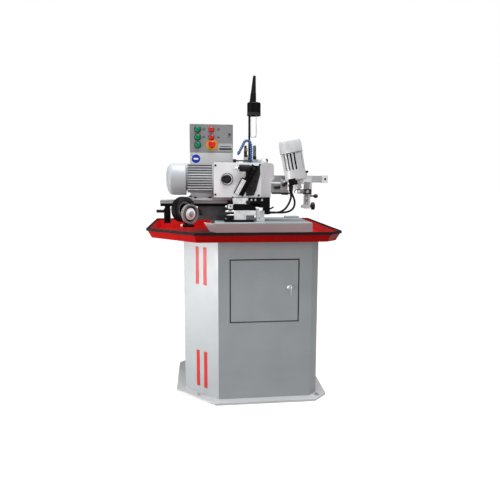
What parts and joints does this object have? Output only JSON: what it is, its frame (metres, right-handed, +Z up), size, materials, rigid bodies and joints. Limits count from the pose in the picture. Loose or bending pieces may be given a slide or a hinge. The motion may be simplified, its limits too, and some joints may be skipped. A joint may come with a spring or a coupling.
{
  "type": "tool grinding machine",
  "caption": "Floor-standing tool grinding machine: motor-driven head, abrasive wheel, tilting second motor, control cabinet, lamp, red chip tray and octagonal pedestal.",
  "frame": {"origin": "on the floor, under the middle of the tray", "axes": "+X to the operator's right, +Y to the back, +Z up"},
  "size_m": [0.952, 0.854, 1.628],
  "materials": {
    "white_enamel": "smooth white enamel, semi-gloss",
    "light_enamel": "light grey enamel, semi-gloss",
    "grey_enamel": "mid grey enamel",
    "red_enamel": "bright red powder coat",
    "black_metal": "black oxide",
    "dark_casting": "dark grey painted casting",
    "rubber": "black rubber",
    "black_plastic": "black moulded plastic",
    "steel": "ground steel",
    "chrome": "polished chrome",
    "alloy": "machined light alloy",
    "green_plastic": "green push-button cap",
    "red_plastic": "red push-button cap",
    "blue_plastic": "blue segmented coolant hose",
    "abrasive": "grey bonded abrasive",
    "tank_metal": "dark blue-grey painted tank"
  },
  "bodies": {
    "frame": {"plinth_plate": "light_enamel", "pedestal_shell": "white_enamel", "coolant_tank": "tank_metal", "tray_pan": "red_enamel", "tray_trim": "rubber", "bed": "grey_enamel", "column_casting": "dark_casting", "beam": "grey_enamel", "beam_rail": "black_metal", "clamp_block": "black_metal", "motor_foot": "light_enamel", "motor_body": "light_enamel", "motor_fan_cover": "white_enamel", "head_housing": "white_enamel", "head_cover": "white_enamel", "wheel_guard": "black_metal", "cabinet_box": "light_enamel", "lamp_post": "black_metal", "valve_body": "alloy", "rear_bar": "grey_enamel", "side_bracket": "grey_enamel", "drive_block": "black_metal", "work_slide_base": "black_metal", "cable_left": "rubber", "cable_right": "rubber"},
    "door": {"door_panel": "white_enamel", "door_seal": "rubber"},
    "door_lock": {"door_lock": "chrome"},
    "clamp_handle": {"clamp_handle": "black_metal"},
    "motor_rotor": {"motor_rotor": "steel"},
    "output_spindle": {"output_spindle": "steel"},
    "adjuster": {"adjuster_disc": "black_plastic"},
    "index_arm": {"index_arm": "black_metal"},
    "plate_knob": {"plate_knob": "black_plastic"},
    "wheel": {"wheel_spindle": "steel", "grinding_wheel": "abrasive", "wheel_flange": "alloy"},
    "control_door": {"control_door": "grey_enamel"},
    "start_button_1": {"start_button_1": "green_plastic"},
    "start_button_2": {"start_button_2": "green_plastic"},
    "start_button_3": {"start_button_3": "green_plastic"},
    "stop_button_1": {"stop_button_1": "red_plastic"},
    "stop_button_2": {"stop_button_2": "red_plastic"},
    "estop": {"estop_mushroom": "red_plastic"},
    "lamp": {"lamp_hood": "black_metal", "lamp_boot": "rubber"},
    "coolant_hose": {"coolant_hose": "blue_plastic"},
    "valve_lever": {"valve_lever": "black_plastic"},
    "pear_handle": {"pear_handle": "black_plastic"},
    "carriage": {"carriage": "white_enamel"},
    "tilt_motor": {"tilt_motor_body": "light_enamel", "tilt_motor_cap": "white_enamel"},
    "tilt_spindle": {"tilt_spindle": "steel"},
    "vertical_slide": {"vertical_slide": "alloy"},
    "slide_knob": {"slide_knob": "black_plastic"},
    "slide_lever": {"slide_lever": "black_plastic"},
    "work_slide": {"work_casting": "alloy", "cradle": "black_metal"},
    "work_holder": {"work_holder": "alloy"},
    "index_chuck": {"index_chuck": "steel"}
  },
  "joints": [
    {"name": "door_hinge", "type": "hinge", "parent": "frame", "child": "door", "pos_m": [-0.058, -0.34, 0.554], "axis": [0, 0, -1], "range_deg": [0, 110]},
    {"name": "lock_turn", "type": "hinge", "parent": "door", "child": "door_lock", "pos_m": [0.226, -0.346, 0.57], "axis": [0, 1, 0], "range_deg": [0, 90]},
    {"name": "clamp_handle_turn", "type": "hinge", "parent": "frame", "child": "clamp_handle", "pos_m": [-0.393, -0.093, 0.928], "axis": [1, 0, 0], "range_deg": [0, 180]},
    {"name": "rotor_spin", "type": "hinge", "parent": "frame", "child": "motor_rotor", "pos_m": [0, -0.05, 1.092], "axis": [1, 0, 0], "continuous": true},
    {"name": "output_spin", "type": "hinge", "parent": "frame", "child": "output_spindle", "pos_m": [0.09, -0.05, 1], "axis": [0, 0, 1], "continuous": true},
    {"name": "adjuster_turn", "type": "hinge", "parent": "frame", "child": "adjuster", "pos_m": [-0.071, -0.15, 1.094], "axis": [0, 1, 0], "range_deg": [-90, 90]},
    {"name": "arm_swing", "type": "hinge", "parent": "frame", "child": "index_arm", "pos_m": [0.064, -0.15, 1.148], "axis": [0, 1, 0], "range_deg": [-6, 16]},
    {"name": "plate_knob_turn", "type": "hinge", "parent": "frame", "child": "plate_knob", "pos_m": [0.053, -0.15, 1.048], "axis": [0, 1, 0], "range_deg": [-180, 180]},
    {"name": "wheel_spin", "type": "hinge", "parent": "frame", "child": "wheel", "pos_m": [-0.291, -0.15, 0.92], "axis": [0.6428, -0.766, 0], "continuous": true},
    {"name": "control_door_hinge", "type": "hinge", "parent": "frame", "child": "control_door", "pos_m": [-0.262, 0.075, 1.313], "axis": [0, 0, -1], "range_deg": [0, 100]},
    {"name": "start_button_1_press", "type": "slide", "parent": "control_door", "child": "start_button_1", "axis": [0, 1, 0], "range_m": [0, 0.004], "stiffness_N_per_m": 500},
    {"name": "start_button_2_press", "type": "slide", "parent": "control_door", "child": "start_button_2", "axis": [0, 1, 0], "range_m": [0, 0.004], "stiffness_N_per_m": 500},
    {"name": "start_button_3_press", "type": "slide", "parent": "control_door", "child": "start_button_3", "axis": [0, 1, 0], "range_m": [0, 0.004], "stiffness_N_per_m": 500},
    {"name": "stop_button_1_press", "type": "slide", "parent": "control_door", "child": "stop_button_1", "axis": [0, 1, 0], "range_m": [0, 0.004], "stiffness_N_per_m": 500},
    {"name": "stop_button_2_press", "type": "slide", "parent": "control_door", "child": "stop_button_2", "axis": [0, 1, 0], "range_m": [0, 0.004], "stiffness_N_per_m": 500},
    {"name": "estop_press", "type": "slide", "parent": "control_door", "child": "estop", "axis": [0, 1, 0], "range_m": [0, 0.005], "stiffness_N_per_m": 800},
    {"name": "lamp_swivel", "type": "hinge", "parent": "frame", "child": "lamp", "pos_m": [0.052, -0.04, 1.48], "axis": [0, 0, 1], "range_deg": [-90, 90]},
    {"name": "hose_swivel", "type": "hinge", "parent": "frame", "child": "coolant_hose", "pos_m": [0.057, -0.08, 1.19], "axis": [0, 0, 1], "range_deg": [-20, 20]},
    {"name": "valve_turn", "type": "hinge", "parent": "frame", "child": "valve_lever", "pos_m": [0.031, -0.079, 1.214], "axis": [0, 0, 1], "range_deg": [0, 90]},
    {"name": "pear_handle_swing", "type": "hinge", "parent": "frame", "child": "pear_handle", "pos_m": [0.178, -0.14, 1.054], "axis": [0, 1, 0], "range_deg": [-60, 60]},
    {"name": "carriage_travel", "type": "slide", "parent": "frame", "child": "carriage", "axis": [1, 0, 0], "range_m": [0, 0.04]},
    {"name": "motor_tilt", "type": "hinge", "parent": "carriage", "child": "tilt_motor", "pos_m": [0.279, -0.128, 1.092], "axis": [0, 1, 0], "range_deg": [-10, 25]},
    {"name": "tilt_spindle_spin", "type": "hinge", "parent": "tilt_motor", "child": "tilt_spindle", "pos_m": [0.279, -0.186, 1.092], "axis": [-0.1908, 0, 0.9816], "continuous": true},
    {"name": "vertical_feed", "type": "slide", "parent": "carriage", "child": "vertical_slide", "axis": [0, 0, 1], "range_m": [-0.015, 0.015]},
    {"name": "slide_knob_turn", "type": "hinge", "parent": "vertical_slide", "child": "slide_knob", "pos_m": [0.362, -0.14, 0.957], "axis": [1, 0, 0], "range_deg": [-180, 180]},
    {"name": "slide_plunger", "type": "slide", "parent": "vertical_slide", "child": "slide_lever", "axis": [1, 0, 0], "range_m": [0, 0.008], "stiffness_N_per_m": 600},
    {"name": "cross_feed", "type": "slide", "parent": "frame", "child": "work_slide", "axis": [1, 0, 0], "range_m": [-0.02, 0.003]},
    {"name": "holder_feed", "type": "slide", "parent": "work_slide", "child": "work_holder", "axis": [0, -1, 0], "range_m": [0, 0.025]},
    {"name": "chuck_index", "type": "hinge", "parent": "work_holder", "child": "index_chuck", "pos_m": [-0.057, -0.2, 0.958], "axis": [0, 1, 0], "continuous": true}
  ],
  "couplings": [
    {"joint": "output_spin", "follows": "rotor_spin", "ratio": -1}
  ]
}
